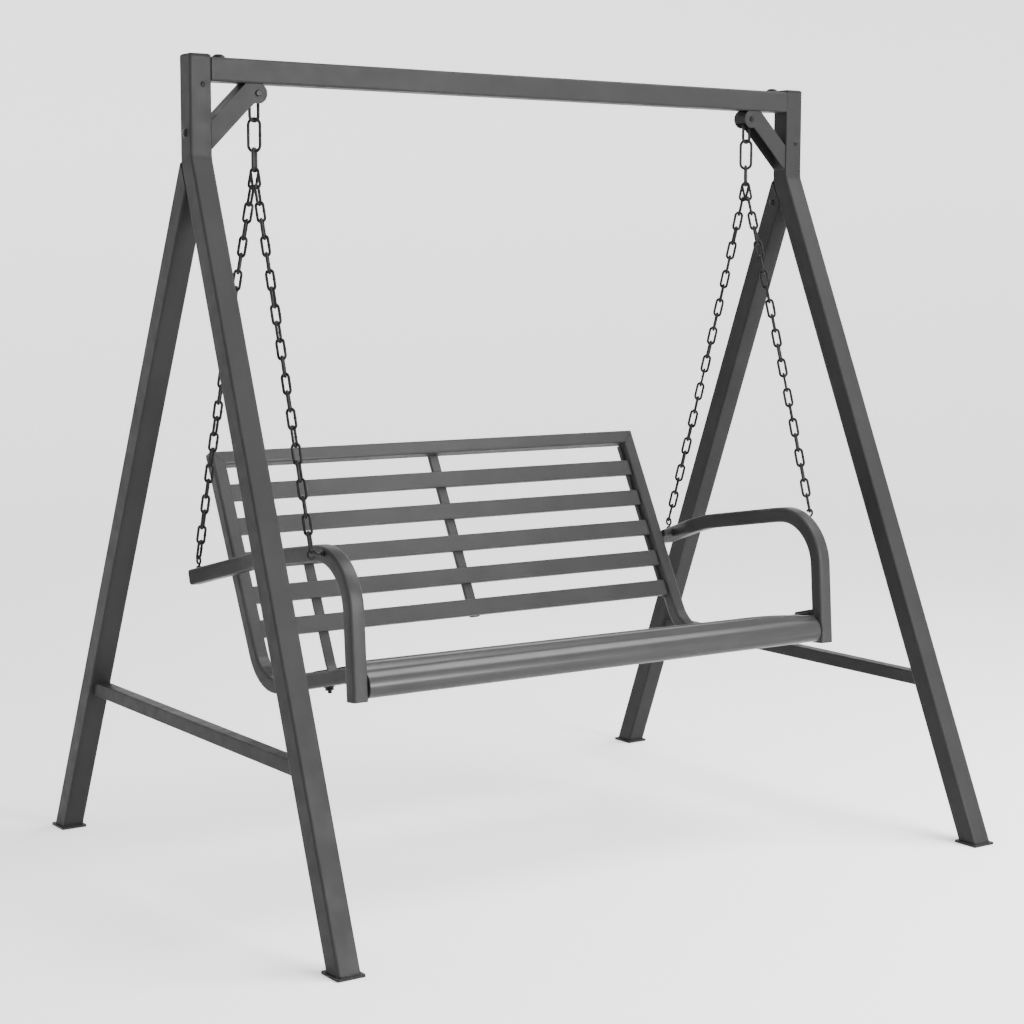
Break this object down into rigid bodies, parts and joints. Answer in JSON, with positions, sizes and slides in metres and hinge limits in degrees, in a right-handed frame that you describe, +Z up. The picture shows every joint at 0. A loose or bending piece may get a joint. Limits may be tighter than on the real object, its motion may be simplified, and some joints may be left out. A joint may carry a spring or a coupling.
{
  "type": "porch swing",
  "caption": "Slatted steel garden swing bench with armrests, hung on two forked chains from an A-frame stand of square tube, all in dark grey powder coat.",
  "frame": {"origin": "centre of the object's footprint on the floor, z = 0 at the underside of the foot plates", "axes": "+X to the right for a person facing the bench from the front, +Y to the back, +Z up"},
  "size_m": [1.6826, 1.3317, 1.7005],
  "materials": {
    "frame_paint": "dark grey powder coat, fine satin texture",
    "bench_paint": "dark grey powder coat, fine satin texture",
    "chain_coat": "dark coated steel wire",
    "bolt_coat": "dark zinc coat",
    "cap_plastic": "moulded grey end cap"
  },
  "bodies": {
    "stand": {"front_leg_left": "frame_paint", "front_leg_right": "frame_paint", "rear_leg_left": "frame_paint", "rear_leg_right": "frame_paint", "rear_leg_stub_left": "frame_paint", "rear_leg_stub_right": "frame_paint", "beam_stub_left": "frame_paint", "beam_stub_right": "frame_paint", "hanger_bracket_left": "frame_paint", "hanger_bracket_right": "frame_paint", "low_rail_left": "frame_paint", "low_rail_right": "frame_paint", "foot_plate_front_left": "frame_paint", "foot_plate_front_right": "frame_paint", "foot_plate_rear_left": "frame_paint", "foot_plate_rear_right": "frame_paint", "post_cap_left": "cap_plastic", "post_cap_right": "cap_plastic", "beam_bolt_left": "bolt_coat", "beam_bolt_right": "bolt_coat", "post_bolt_left": "bolt_coat", "post_bolt_right": "bolt_coat", "leg_bolt_left": "bolt_coat", "leg_bolt_right": "bolt_coat", "post_screw_left": "bolt_coat", "post_screw_right": "bolt_coat", "hanger_pin_left": "bolt_coat", "hanger_pin_right": "bolt_coat", "top_beam": "frame_paint"},
    "hanger_links": {"top_link_left": "chain_coat", "top_link_right": "chain_coat", "long_link_left": "chain_coat", "long_link_right": "chain_coat"},
    "bench": {"arm_spacer_left": "bench_paint", "arm_spacer_right": "bench_paint", "armrest_left": "bench_paint", "armrest_right": "bench_paint", "back_slat_1": "bench_paint", "back_slat_2": "bench_paint", "back_slat_3": "bench_paint", "back_slat_4": "bench_paint", "back_slat_5": "bench_paint", "centre_bar": "bench_paint", "chain_left": "chain_coat", "chain_right": "chain_coat", "eye_bolt_front_left": "bolt_coat", "eye_bolt_front_right": "bolt_coat", "eye_bolt_rear_left": "bolt_coat", "eye_bolt_rear_right": "bolt_coat", "front_roll": "bench_paint", "left_stay": "bench_paint", "roll_end_left": "bench_paint", "roll_end_right": "bench_paint", "seat_slat_1": "bench_paint", "seat_slat_2": "bench_paint", "seat_slat_3": "bench_paint", "side_rail_left": "bench_paint", "side_rail_right": "bench_paint", "top_rail": "bench_paint"}
  },
  "joints": [
    {"name": "swing", "type": "hinge", "parent": "stand", "child": "hanger_links", "pos_m": [0, -0.007, 1.6328], "axis": [1, 0, 0], "range_deg": [-21, 21]},
    {"name": "bench_pitch", "type": "hinge", "parent": "hanger_links", "child": "bench", "pos_m": [0, -0.007, 1.511], "axis": [1, 0, 0], "range_deg": [-8, 8]}
  ]
}
